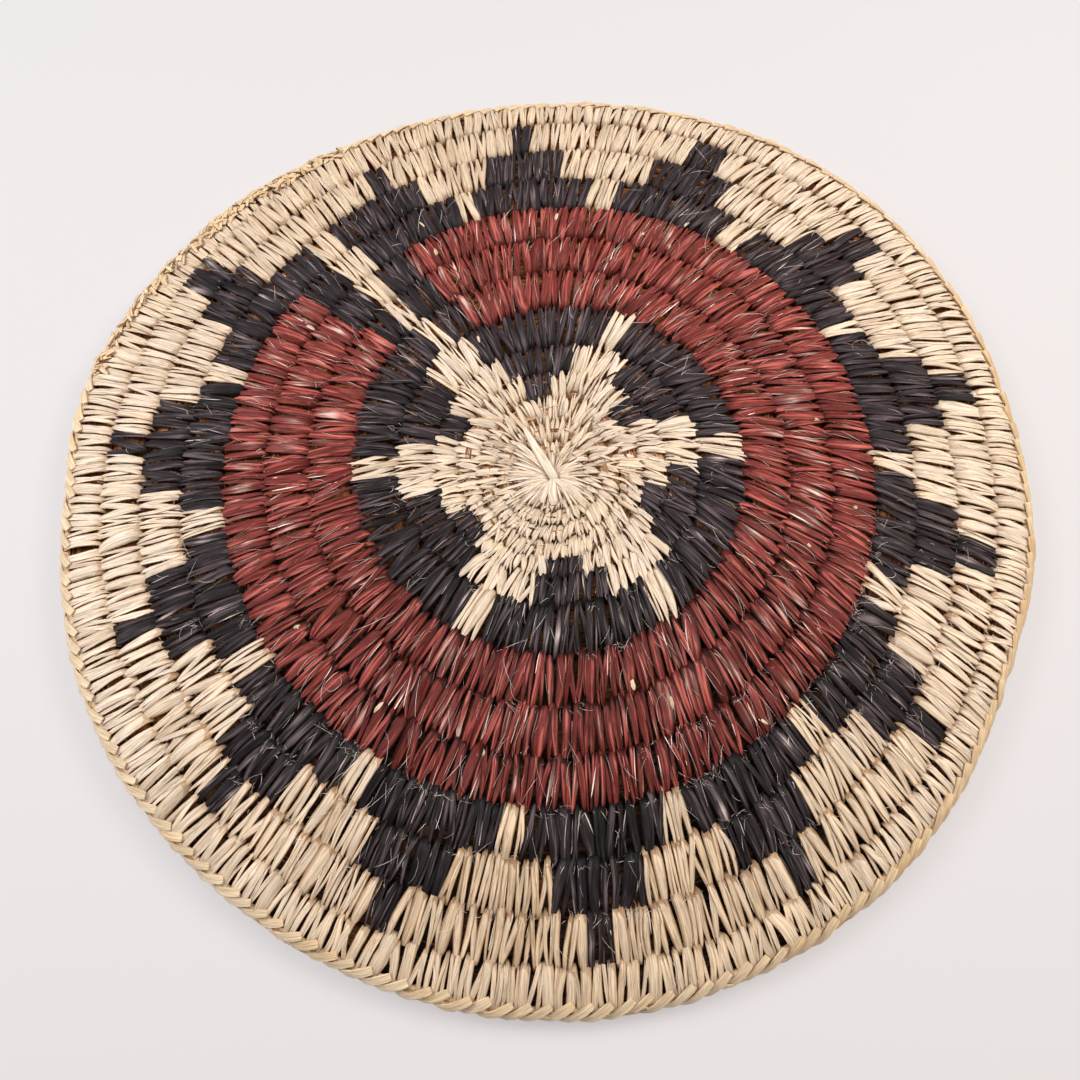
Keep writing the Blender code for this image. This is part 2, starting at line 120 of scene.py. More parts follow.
# A splint's section: share of the half width, then how much of the crown and of the
# thickness lies under that point
SPLINT_SECTION = np.array((
    (-1.0, 0.0, 0.0), (-0.88, 0.70, 0.5), (0.0, 1.0, 0.5), (0.88, 0.70, 0.5),
    (1.0, 0.0, 0.0), (0.7, 0.5, -0.5), (-0.7, 0.5, -0.5)))


def direction(turns):
    """The angle in radians, anticlockwise from +X, after so many turns."""
    return np.radians(COIL_END_DEGREES + 360 * np.asarray(turns, float))


def smooth_share(value, low, high):
    """Rises smoothly from 0 at low to 1 at high."""
    share = np.clip((np.asarray(value, float) - low) / (high - low), 0.0, 1.0)
    return share * share * (3 - 2 * share)


def seam_share(turns):
    """Share of the rim radius at a seam, on a smooth curve through SEAM_SHARES."""
    turns = np.asarray(turns, float)
    slopes = np.gradient(SEAM_SHARES)
    index = np.clip(turns.astype(int), 0, len(SEAM_SHARES) - 2)
    step = turns - index
    square, cube = step ** 2, step ** 3
    return (SEAM_SHARES[index] * (2 * cube - 3 * square + 1)
            + slopes[index] * (cube - 2 * square + step)
            + SEAM_SHARES[index + 1] * (3 * square - 2 * cube)
            + slopes[index + 1] * (cube - square))


def seam_radius(turns):
    """Distance from the origin to the seam, with the basket's own unevenness."""
    share = seam_share(turns)
    angle = direction(turns)
    drift_x = np.interp(share, DRIFT_SHARES[:, 0], DRIFT_SHARES[:, 1])
    drift_y = np.interp(share, DRIFT_SHARES[:, 0], DRIFT_SHARES[:, 2])
    wave = (WAVE_TWO_SHARE * np.sin(2 * angle + math.radians(WAVE_TWO_DEGREES))
            + WAVE_THREE_SHARE * np.sin(3 * angle + math.radians(WAVE_THREE_DEGREES)))
    return RIM_RADIUS * (share + drift_x * np.cos(angle) + drift_y * np.sin(angle)
                         + wave * share ** 2)


def row_height(turns):
    """Height of the wrapped coil above the surface that it lies on."""
    share = (seam_share(turns) + seam_share(np.asarray(turns, float) + 1)) / 2
    rise = smooth_share(share, *HEIGHT_RISE_SHARES)
    full = CENTRE_ROW_HEIGHT + (ROW_HEIGHT - CENTRE_ROW_HEIGHT) * rise
    return COIL_END_HEIGHT + (full - COIL_END_HEIGHT) * smooth_share(turns, 0, END_TURNS)


def row_edges(turns):
    """Inner and outer radius of a row. The rim row leaves room for its braid, and is
    thinned towards the coil's end."""
    turns = np.asarray(turns, float)
    thinning = END_THINNING_SHARE * np.cos(np.pi / 2 * np.minimum(turns / END_TURNS, 1.0))
    room = BRAID_OVERHANG * (1 - smooth_share(turns, 1 - BRAID_FADE_TURNS, 1))
    seam = seam_radius(turns)
    rim = seam - RIM_RADIUS * thinning - room + np.interp(turns, *RIM_SWELL.T) * MM
    return seam_radius(turns + 1), np.where(turns < 1, rim, seam)


def spread(low, high, count=None):
    """Even random numbers."""
    return RANDOM.uniform(low, high, count)


def bell(middle, deviation, count):
    """Random numbers that lie mostly near a middle."""
    return RANDOM.normal(middle, deviation, count)


def axes_at(angle):
    """Unit vectors outward and anticlockwise at these angles."""
    zero = np.zeros_like(angle)
    return (np.stack((np.cos(angle), np.sin(angle), zero), -1),
            np.stack((-np.sin(angle), np.cos(angle), zero), -1))


def in_section(outward, radial, level, sideways=0.0, aside=np.zeros(1)):
    """Vectors that go so far outward, up and sideways."""
    return outward * radial[..., None] + UP * level[..., None] + sideways * aside[..., None]


def circle(sides):
    """Even angles round a circle."""
    return 2 * np.pi * np.arange(sides) / sides


def unit(vectors):
    """Vectors of length 1."""
    return vectors / np.maximum(np.linalg.norm(vectors, axis=-1, keepdims=True), 1e-12)


def follow(middle):
    """Unit directions and distances along (splint, station, xyz) lines."""
    steps = np.linalg.norm(np.diff(middle, axis=1), axis=-1)
    distances = np.concatenate((np.zeros((len(middle), 1)), np.cumsum(steps, 1)), 1)
    return unit(np.gradient(middle, axis=1)), distances


def new_object(name, data):
    """An object in the scene."""
    made = bpy.data.objects.new(name, data)
    bpy.context.scene.collection.objects.link(made)
    return made


class Splints:
    """Gathers ribbons and tubes into one mesh, with their own coordinates for grain.

    Numbers that hold for a whole splint are columns, (splint, 1), and the others are
    (splint, station).
    """

    def __init__(self):
        self.points, self.faces = [], []
        self.layers = {"grain": [], "tint": [], "wear": [], "side": []}
        self.count = 0

    def add(self, rings, along, across, tint, wear, seed, side=0.0):
        """Skins (splint, station, corner, xyz) rings into closed strips."""
        whole = rings.shape[:3]
        base = self.count + np.arange(np.prod(whole)).reshape(whole)
        here, ahead = base[:, :-1], base[:, 1:]
        quads = np.stack((here, ahead, np.roll(ahead, -1, 2), np.roll(here, -1, 2)), -1)
        self.faces += [quads.reshape(-1, 4), base[:, 0], base[:, -1, ::-1]]
        self.points.append(rings.reshape(-1, 3))
        grain = np.stack([np.broadcast_to(part, whole) for part in
                          (along[..., None], across, seed[:, None, None])], -1)
        self.layers["grain"].append(grain.reshape(-1, 3))
        for kind, values in (("tint", tint), ("wear", wear), ("side", side)):
            values = np.asarray(values, float)
            values = values[..., None] if values.ndim == 2 else values
            self.layers[kind].append(np.broadcast_to(values, whole).reshape(-1))
        self.count += base.size

    def ribbons(self, middle, normal, half_width, crown, thickness, tint, wear=0.0,
                side_shade_share=1.0, ends=0.0):
        """Flat splints along (splint, station, xyz) middles, flat side to the normal."""
        ahead, along = follow(middle)
        aside = unit(np.cross(ahead, normal))
        up = unit(np.cross(aside, ahead))
        across, crowned, thick = SPLINT_SECTION.T
        widths = half_width[..., None] * across
        lift = (crowned * crown + thick * thickness)[..., None, :]
        rings = (middle[:, :, None] - aside[:, :, None] * widths[..., None]
                 + up[:, :, None] * lift[..., None])
        # The painted shade along the splint's sides and at its ends
        side = np.maximum(np.abs(across), np.asarray(ends)[..., None]) * side_shade_share
        self.add(rings, along, widths, tint, wear, spread(0, 50, len(middle)), side)

    def tubes(self, middle, radius, sides, tint, wear=0.0):
        """Round strands along (strand, station, xyz) middles."""
        ahead, along = follow(middle)
        aside = unit(np.cross(ahead, UP + 1e-3))
        up = np.cross(aside, ahead)
        cosine, sine = np.cos(circle(sides)), np.sin(circle(sides))
        section = aside[:, :, None] * cosine[:, None] - up[:, :, None] * sine[:, None]
        rings = middle[:, :, None] + radius[:, :, None, None] * section
        self.add(rings, along, radius[..., None] * cosine, tint, wear,
                 spread(0, 50, len(middle)))

    def build(self, name, material, slot, *nodes):
        """Makes the mesh object, which stands for the CAD nodes."""
        corners = np.concatenate([np.full(len(faces), faces.shape[1]) for faces in self.faces])
        loops = np.concatenate([faces.reshape(-1) for faces in self.faces])
        starts = np.concatenate(((0,), np.cumsum(corners)[:-1]))
        points = np.concatenate(self.points)
        points[:, 2] = np.maximum(points[:, 2], 0)
        data = bpy.data.meshes.new(name)
        data.vertices.add(self.count)
        data.vertices.foreach_set("co", points.astype(np.float32).ravel())
        data.loops.add(len(loops))
        data.loops.foreach_set("vertex_index", loops.astype(np.int32))
        data.polygons.add(len(starts))
        data.polygons.foreach_set("loop_start", starts.astype(np.int32))
        data.update(calc_edges=True)
        data.validate()
        data.shade_smooth()
        data.set_sharp_from_angle(angle=math.radians(55))
        for kind, values in self.layers.items():
            type_name, key = ("FLOAT_VECTOR", "vector") if kind == "grain" else ("FLOAT", "value")
            layer = data.attributes.new(kind, type_name, "POINT")
            layer.data.foreach_set(key, np.concatenate(values).astype(np.float32).ravel())
        data.materials.append(material)
        piece = new_object(name, data)
        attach(piece, "root")
        if nodes:
            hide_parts(*nodes)


# Materials
def new_material(name):
    material = bpy.data.materials.new(name)
    material.use_nodes = True
    return material, material.node_tree, material.node_tree.nodes["Principled BSDF"]


def connect(tree, node, inputs):
    """Sets a node's inputs, to links or plain values."""
    for key, value in inputs.items():
        if isinstance(value, bpy.types.NodeSocket):
            tree.links.new(value, node.inputs[key])
        else:
            node.inputs[key].default_value = value


def linked(tree, kind, inputs, **settings):
    """The outputs of a new node with these inputs and settings."""
    node = tree.nodes.new("ShaderNode" + kind)
    for key, value in settings.items():
        setattr(node, key, value)
    connect(tree, node, inputs)
    return node.outputs


def attribute(tree, name, output):
    return linked(tree, "Attribute", {}, attribute_name=name)[output]


def math_node(tree, operation, *values):
    return linked(tree, "Math", dict(enumerate(values)), operation=operation)[0]


def ranged(tree, value, low, high, new_low=0.0, new_high=1.0):
    return linked(tree, "MapRange", {"Value": value, "From Min": low, "From Max": high,
                                     "To Min": new_low, "To Max": new_high})[0]


def mixed(tree, share, first, second, blend="MIX"):
    """The first colour where the share is 0 and the second where it is 1."""
    return linked(tree, "Mix", {0: share, 6: first, 7: second}, data_type="RGBA",
                  blend_type=blend)[2]


def noise(tree, place, **inputs):
    inputs = {"Vector": place, "Scale": 1.0, "Detail": 2.0} | inputs
    return linked(tree, "TexNoise", inputs)["Fac"]


def colour(red, green, blue):
    return (red, green, blue, 1.0)


def splint_material(name, colours, streak_share, shade, crack, rough, specular,
                    sheen=0.03):
    """Split plant fibre: fine streaks along each splint, a tint of its own, and stains.

    The colours are the pale, deep, streak, stain and worn ones, and the painted shade on a
    splint's sides and ends. The worn one also stands for a painted highlight on the tops of dyed
    splints.
    """
    pale, deep, streak, stain, wear_and_highlight_colour, shadow = (colour(*parts) for parts in colours)
    material, tree, shader = new_material(name)
    tint, wear, side = (attribute(tree, kind, "Fac") for kind in ("tint", "wear", "side"))
    grain = attribute(tree, "grain", "Vector")
    along, across, seed = linked(tree, "SeparateXYZ", {0: grain})
    seed = math_node(tree, "MULTIPLY", seed, 7.0)

    def streaks(along_scale, across_scale, **inputs):
        """Noise that is drawn out along the splint."""
        place = linked(tree, "CombineXYZ", {
            0: math_node(tree, "MULTIPLY", along, along_scale),
            1: math_node(tree, "MULTIPLY", across, across_scale), 2: seed})[0]
        return noise(tree, place, **inputs)

    fine = streaks(55.0, 1200.0, Roughness=0.65)
    broad = streaks(60.0, 600.0)
    patch = noise(tree, linked(tree, "TexCoord", {})["Object"], Scale=70.0, Detail=3.0)
    base = mixed(tree, tint, pale, deep)
    base = mixed(tree, ranged(tree, broad, 0.40, 0.68, 0.0, streak_share), base, streak)
    base = mixed(tree, ranged(tree, patch, 0.51, 0.67, 0.0, 0.55), base, stain)
    # Pale worn marks, which on the tops of the dyed splints also stand for a painted highlight
    worn = math_node(tree, "MULTIPLY", wear, ranged(tree, broad, 0.42, 0.58, 0.12, 1.25))
    base = mixed(tree, worn, base, wear_and_highlight_colour)
    # The painted shade is deeper on more deeply tinted splints
    shadow = mixed(tree, tint, shadow, colour(*(0.5 * part for part in shadow[:3])))
    # Painted shade along a splint's sides and at its ends by the seams
    base = mixed(tree, ranged(tree, side, 0.70, 1.0, 0.0, 0.85), base, shadow)
    # Narrow dark lines between the fibres
    off_middle = math_node(tree, "ABSOLUTE", math_node(tree, "SUBTRACT", fine, 0.5))
    lines = ranged(tree, off_middle, 0.0, 0.07, crack)
    tone = math_node(tree, "MULTIPLY", lines, ranged(tree, fine, 0.32, 0.68, *shade))
    tone = linked(tree, "CombineColor", {0: tone, 1: tone, 2: tone})[0]
    base = mixed(tree, 1.0, base, tone, "MULTIPLY")
    height = math_node(tree, "ADD", fine, math_node(tree, "MULTIPLY", broad, 1.2))
    bump = linked(tree, "Bump", {"Strength": 0.75, "Distance": 0.35 * MM, "Height": height})[0]
    connect(tree, shader, {
        "Base Color": base, "Roughness": ranged(tree, fine, 0.3, 0.7, rough + 0.14, rough - 0.06),
        "Specular IOR Level": specular, "Sheen Weight": sheen, "Sheen Roughness": 0.4,
        "Normal": bump})
    return material


STRAW = splint_material(
    "straw_splint",
    ((0.945, 0.805, 0.665), (0.62, 0.45, 0.285), (0.64, 0.43, 0.255),
     (0.92, 0.71, 0.49), (0.36, 0.19, 0.09), (0.54, 0.29, 0.13)),
    streak_share=0.27, shade=(0.86, 1.06), crack=0.60, rough=0.42, specular=0.40)
BRAID = splint_material(
    "braid_splint",
    ((0.95, 0.76, 0.53), (0.76, 0.51, 0.27), (0.72, 0.47, 0.25),
     (0.92, 0.68, 0.40), (0.30, 0.14, 0.06), (0.40, 0.19, 0.08)),
    streak_share=0.30, shade=(0.84, 1.04), crack=0.70, rough=0.40, specular=0.45)
BLACK = splint_material(
    "black_splint",
    ((0.039, 0.026, 0.031), (0.008, 0.0055, 0.0065), (0.118, 0.086, 0.096),
     (0.062, 0.043, 0.049), (0.46, 0.37, 0.36), (0.006, 0.004, 0.005)),
    streak_share=0.55, shade=(0.30, 1.75), crack=0.28, rough=0.50, specular=0.16)
RED = splint_material(
    "red_splint",
    ((0.37, 0.063, 0.051), (0.12, 0.009, 0.006), (0.50, 0.145, 0.120),
     (0.15, 0.016, 0.012), (0.86, 0.66, 0.57), (0.022, 0.002, 0.0015)),
    streak_share=0.5, shade=(0.36, 1.46), crack=0.32, rough=0.48, specular=0.15, sheen=0.02)
FIBRE = splint_material(
    "fibre_bundle",
    ((0.50, 0.19, 0.075), (0.012, 0.006, 0.004), (0.38, 0.15, 0.06),
     (0.36, 0.14, 0.045), (0.74, 0.46, 0.27), (0.01, 0.005, 0.004)),
    streak_share=0.3, shade=(0.35, 1.2), crack=0.5, rough=0.7, specular=0.2, sheen=0.0)
HAIR = splint_material(
    "stray_fibre",
    ((0.98, 0.92, 0.86), (0.42, 0.27, 0.17), (0.95, 0.90, 0.84),
     (0.7, 0.6, 0.5), (0.40, 0.24, 0.14), (0.4, 0.3, 0.2)),
    streak_share=0.3, shade=(0.8, 1.1), crack=0.8, rough=0.5, specular=0.4, sheen=0.0)

# A colour's stitches: the share of them that are more than one splint, have a loose sliver
# or are worn pale along the middle of the top, which also stands for a painted highlight, how
# far they turn into petals towards the centre, how pointed they are in the outer rows, and
# how worn their slivers are
Kind = namedtuple("Kind", "material slot split sliver worn petal pointed sliver_wear")
KINDS = {"straw": Kind(STRAW, "straw_splint", 0.78, 0.50, 0.0, 1.0, 0.05, 0.6),
         "black": Kind(BLACK, "black_splint", 0.58, 0.60, 0.10, 0.35, 0.20, 0.9),
         "red": Kind(RED, "red_splint", 0.70, 0.70, 0.22, 0.35, 0.50, 1.0)}


def stitch_pitch(turns):
    """Width of one stitch with its gap: finer towards the start knot."""
    share = (seam_share(turns) + seam_share(turns + 1)) / 2
    return (2.2 + 1.9 * smooth_share(share, 0.15, 0.62)) * MM


def lean_at(turns):
    """How far a stitch's inner end is turned anticlockwise, in radians."""
    share = seam_share(turns)
    swing = 8 + 15 * (1 - share)
    return np.radians(5 + swing * np.cos(direction(turns) - np.radians(330 + 40 * share)))


def centre_share_at(turns):
    """1 in the centre, whose stitches are pointed petals, and 0 in the outer rows."""
    return 1 - smooth_share(seam_share(turns), 0.28, 0.56)


def stitch_places(runs):
    """Middles and widths, in turns and metres, of the stitches of some runs."""
    middles, pitches = [], []
    for start, end in runs:
        turns = start
        places = [start]
        while turns < end:
            inner, outer = row_edges(turns)
            turns += stitch_pitch(turns) / (math.pi * (inner + outer))
            places.append(turns)
        places = start + (np.array(places) - start) * (end - start) / (places[-1] - start)
        wobble = np.diff(places).mean() * 0.21
        places[1:-1] += spread(-wobble, wobble, len(places) - 2)
        middle = (places[1:] + places[:-1]) / 2
        inner, outer = row_edges(middle)
        middles.append(middle)
        pitches.append(np.diff(places) * math.pi * (inner + outer))
    return np.concatenate(middles), np.concatenate(pitches)


def split_stitches(turns, pitch, split_share):
    """Some stitches are one broad splint, some two or three that part outward.

    Gives columns: places in turns, widths, and offsets at the inner and the outer seam.
    """
    splints = []
    shares = split_share * (1 - 0.35 * centre_share_at(turns))
    for place, room, split in zip(turns, pitch, shares):
        chance = spread(0, 1)
        # Shares of the stitch: width, and places at the inner and at the outer seam
        if chance < 1 - split:
            parts = ((0.86, 0.0, 0.0),)
        elif chance < 1 - 0.50 * split:
            parts = ((0.48, -0.13, -0.32), (0.46, 0.12, 0.31))
        elif chance < 1 - 0.22 * split:
            parts = ((0.62, -0.11, -0.14), (0.30, 0.27, 0.35))
        else:
            parts = ((0.35, -0.22, -0.38), (0.37, 0.02, 0.02), (0.33, 0.23, 0.38))
        flip = 1 if spread(0, 1) < 0.5 else -1
        splints += [(place, room * share, room * inner * flip, room * outer * flip)
                    for share, inner, outer in parts]
    return np.array(splints).T[..., None]


def part_way(lines, start, end, count):
    """Points between two shares of the way along (line, station, xyz) lines."""
    at = start + (end - start) * np.linspace(0, 1, count)
    at = at * (lines.shape[1] - 1)
    index = np.minimum(at.astype(int), lines.shape[1] - 2)
    step = (at - index)[..., None]
    rows = np.arange(len(lines))[:, None]
    return lines[rows, index] * (1 - step) + lines[rows, index + 1] * step


def add_stitches(splints, runs, kind):
    """Wraps the runs of one colour with stitches."""
    look = KINDS[kind]
    turns, pitch = stitch_places(runs)
    where, width, inner_side, outer_side = split_stitches(turns, pitch, look.split)
    column = where.shape
    inner, outer = row_edges(where)
    across = outer - inner
    angle = direction(where)
    outward, sideways = axes_at(angle)
    petal = centre_share_at(where) * look.petal
    rim = where < 1
    on_top = np.arange(len(OUTER_STITCH)) < TOP_POINTS
    hump = np.zeros(len(OUTER_STITCH))
    hump[1:TOP_POINTS] = np.sin(np.linspace(0.2, 1, TOP_POINTS - 1) * np.pi)

    shape = OUTER_STITCH + petal[..., None] * (CENTRE_STITCH - OUTER_STITCH)
    share = shape[..., 0]
    outside = np.clip(share, 0, 1)
    pointed = spread(-0.25, 0.35, column) + 0.15 * np.abs(np.cos(angle)) + look.pointed
    pointed = np.clip(np.maximum(petal, pointed), 0, 1)
    wide = OUTER_STITCH[:, 2] + pointed * (CENTRE_STITCH - OUTER_STITCH)[:, 2]
    # Broad rows in the centre are staggered: some petals end early and some start late
    chance = spread(0, 1, column)
    room = smooth_share(where, 9.3, 10.0) * np.clip((across / MM - 6.2) / 1.6, 0, 1)
    early = room * np.where(chance < 0.24, spread(0.14, 0.28, column), 0)
    late = room * np.where(chance > 0.66, spread(0.20, 0.40, column), 0)
    end_play = spread(-0.24, 0.17, column) * petal - early
    start_play = spread(-0.085, 0.065, column) * (1 + 0.4 * petal) + late
    reach = share + start_play * (1 - outside) + end_play * outside
    radial = inner + reach * across
    level = shape[..., 1] - rim * RIM_DROPS
    z = STITCH_BED + (row_height(where) - 2 * STITCH_BED) * level
    z = z + spread(-0.40, 0.50, column) * MM * hump
    z = z + (1.6 * late - 1.2 * early) * MM * hump
    # Some stitches stray from the lean of the others, and lie over them
    stray = np.where(spread(0, 1, column) < 0.09, 2.2, 1.0)
    turned = bell(0, 1, column) * (4.3 + 1.7 * petal) * stray
    aside = across * np.tan(lean_at(where) + np.radians(turned)) * (0.5 - share)
    aside = aside + inner_side * (1 - outside) + outer_side * outside
    aside = aside + bell(0, 0.34, column) * MM * np.sin(np.pi * outside)
    aside = aside + bell(0, 0.32, column) * MM * outside
    middle = in_section(outward, radial, z + 0.12 * MM * (stray - 1) * hump, sideways, aside)

    flat = in_section(outward, -np.gradient(z, axis=1), np.gradient(radial, axis=1))
    roll = np.radians(bell(4, 10, column))
    roll = roll + np.radians(bell(0, 9, column)) * (share - 0.5)
    roll = roll * np.where(on_top, 1.0, 0.2)
    normal = unit(flat) * np.cos(roll)[..., None] + sideways * np.sin(roll)[..., None]

    rim_share = np.where(rim, 0.4, 1.0)
    front = np.clip(-np.sin(angle), 0, 1) * (1 - petal) * ~rim
    half = width * 0.5 * wide ** np.where(on_top, rim_share, 1.0)
    half = half * (spread(0.88, 1.20, column) + (0.035 * np.cos(angle) - 0.03 * front))
    half = half * bell(1, 0.04, half.shape)
    half = half * (1.04 + spread(-0.22, 0.22, column) * petal)
    crown = np.minimum(width * 0.07, 0.24 * MM) * spread(0.1, 1.6, column)
    thickness = spread(0.30, 0.46, column) * MM

    ends = np.clip(1 - np.minimum(outside, 1 - outside) * 7, 0, 1)
    tint = stitch_tint(where, kind) + 0.22 * ends * spread(0, 1, column)
    # Some splints are worn pale along the middle of the top, and this band also stands for a
    # painted highlight
    worn = spread(0, 1, column) < look.worn
    worn = np.where(worn, spread(0.25, 0.85, column) ** 2, 0.0)
    crest_wear_and_highlight = np.exp(-((share - spread(0.25, 0.75, column)) / 0.18) ** 2)
    # Painted shade: both ends are darker where they go down into the seams
    inner_end_shade = 1.0 + 0.15 * petal - outside / (0.10 + 0.32 * petal)
    outer_end_shade = (1.0 - (1 - outside) / 0.10) * (1 - petal) * rim_share
    dark = np.clip(np.maximum(inner_end_shade, outer_end_shade), 0, 1) * spread(0.5, 0.95, column)
    # The painted shade on their sides and ends is stronger towards -Y
    splints.ribbons(middle, normal, half, crown, thickness, np.clip(tint, 0, 1),
                    worn * crest_wear_and_highlight * on_top, (1 + 0.25 * front)[..., None],
                    dark * (1 - 0.4 * petal))
    top = slice(1, TOP_POINTS)
    add_slivers(splints, look, middle[:, top], normal[:, top], half[:, top], sideways,
                crown + 0.5 * thickness)


def add_slivers(splints, look, middle, normal, half, sideways, height):
    """Thin slivers that have split off along the edges of some splints."""
    chosen = np.flatnonzero(spread(0, 1, len(middle)) < look.sliver)
    column = (len(chosen), 1)
    sideways = sideways[chosen]
    edge = np.where(spread(0, 1, column) < 0.5, -1.0, 1.0)
    edge = edge * half[chosen] * spread(0.5, 1.05, column)
    line = middle[chosen] + sideways * edge[..., None]
    line = line + UP * height[chosen, :, None]
    first = spread(0.0, 0.45, column)
    last = first + spread(0.3, 0.55, column)
    line = part_way(line, first, last, 7)
    step = np.linspace(-1, 1, 7)
    drift = bell(0, 0.35, column) * MM
    line = line + sideways * drift[..., None] * step[:, None]
    lift = np.abs(bell(0, 0.22, column)) * MM
    line = line + UP * lift[..., None] * step[:, None] ** 2
    flats = part_way(normal[chosen], first, last, 7)
    thin = spread(0.10, 0.26, column) * MM * (1 - 0.75 * step ** 2)
    wear = np.interp(spread(0, 1, column), (0, 0.55, 0.65, 1), (0, 0.25, 0.7, 1))
    wear = wear * look.sliver_wear
    splints.ribbons(line, flats, thin, 0.0, 0.16 * MM, 0.5 * wear, wear, 0.0)


def stitch_tint(turns, kind):
    """0 for the palest splints and 1 for the deepest."""
    tint = RANDOM.beta(1.3, 2.0, turns.shape)
    angle = direction(turns)
    front = np.clip(-np.sin(angle), 0, 1)
    if kind == "straw":
        # Golden on the far side and at +X, and deeper at -Y as painted shade, all less so towards
        # the centre
        rim = 1 - smooth_share(turns, 0.8, 1.4)
        inside = smooth_share(turns, 2.5, 7)
        far = np.clip(np.cos(angle - math.radians(112)), 0, 1)
        right = np.clip(np.cos(angle), 0, 1)
        golden_and_front_shade = (0.66 - 0.08 * rim) * front ** 3 + 0.52 * far ** 2 + 0.14 * right ** 2
        tint = tint * 0.40 + golden_and_front_shade * (1 - 0.75 * inside) + 0.16 * smooth_share(turns, 8.5, 11)
    else:
        # The dyed splints are deeper at -Y, which is painted shade, and the black ones deeper at
        # -X too
        left = np.clip(-np.cos(angle), 0, 1)
        tint = tint * 0.66 + (0.52 * front + 0.32 * left if kind == "black" else 0.40 * front)
    return np.clip(tint, 0, 1)


def turns_at(row, degrees):
    """Turns from the coil's outer end to a direction in a row."""
    return row + (degrees - COIL_END_DEGREES) / 360


def run_between(row, start, last_row, end):
    return turns_at(row, start), turns_at(last_row, end)


def row_runs(row, places):
    return [run_between(row, start, row, end) for start, end in places]


def gaps_between(places):
    return [(end, start) for (_, end), (start, _) in zip(places, places[1:])]


def stacked(first_row, *rows):
    """Groups of runs that lie beside each other in neighbouring rows."""
    rows = [row_runs(first_row + step, places) for step, places in enumerate(rows)]
    return [list(runs) for runs in zip(*rows)]


def numbered(name, groups, kind):
    """A piece for each group of runs."""
    return [(name.format(number), runs, kind) for number, runs in enumerate(groups, 1)]


def pattern():
    """Node name, runs in turns and colour of each wrapped piece."""
    pieces = [("rim_row", [(0.0, turns_at(1, OUTER_TIPS[0][0]))], "straw")]
    for name, row in (("red_row_outer", 4), ("red_row_middle", 5), ("red_row_inner", 6)):
        pieces.append((name, row_runs(row, [RED_IN_ROWS[row]]), "red"))
    pieces.append(("centre_rows", [(10.0, float(COIL_TURNS))], "straw"))
    outer_rows = (OUTER_TIPS, OUTER_STEPS, OUTER_BASES)
    motifs = stacked(1, *outer_rows)
    # The last motif's lower rows end at the pathway
    for place, row in ((1, 3), (2, 4)):
        motifs[-1][place] = (motifs[-1][place][0], turns_at(row, PATHWAY_IN_ROWS[row][0]))
    pieces += numbered("outer_motif_{:02d}", motifs, "black")
    pieces += numbered("outer_ground_{:02d}", stacked(1, *map(gaps_between, outer_rows)), "straw")
    path = [run_between(1, OUTER_TIPS[-1][1], 2, OUTER_STEPS[0][0])]
    for row, places in PATHWAY_IN_ROWS.items():
        path += row_runs(row, [places])
    left = [run_between(row, PATHWAY_IN_ROWS[row][1], row, RED_IN_ROWS[row][0])
            for row in RED_IN_ROWS]
    right = [run_between(row, RED_IN_ROWS[row][1], row + 1, PATHWAY_IN_ROWS[row + 1][0])
             for row in (4, 5)] + [(turns_at(6, RED_IN_ROWS[6][1]), 7.0)]
    pieces += [("pathway", path, "straw"), ("pathway_border_left", left, "black"),
               ("pathway_border_right", right, "black")]
    tip_start, tip_end, second_tip = PATHWAY_TIP
    shoulder_end, second_shoulder = PATHWAY_SHOULDER
    root_end, second_root = PATHWAY_ROOT
    star_rows = (STAR_TIPS, STAR_SHOULDERS, STAR_ROOTS)
    arms = stacked(7, *star_rows)
    arms.append([run_between(7, tip_start, 7, tip_end),
                 run_between(7, second_tip, 8, shoulder_end),
                 run_between(8, second_shoulder, 9, root_end),
                 (turns_at(9, second_root), 10.0)])
    pieces += numbered("star_arm_{}", arms, "straw")
    beside = ((tip_end, second_tip), (shoulder_end, second_shoulder), (root_end, second_root))
    steps = [gaps_between([(None, first), *straw, (last, None)])
             for straw, (first, last) in zip(star_rows, beside)]
    return pieces + numbered("star_step_{}", stacked(7, *steps), "black")


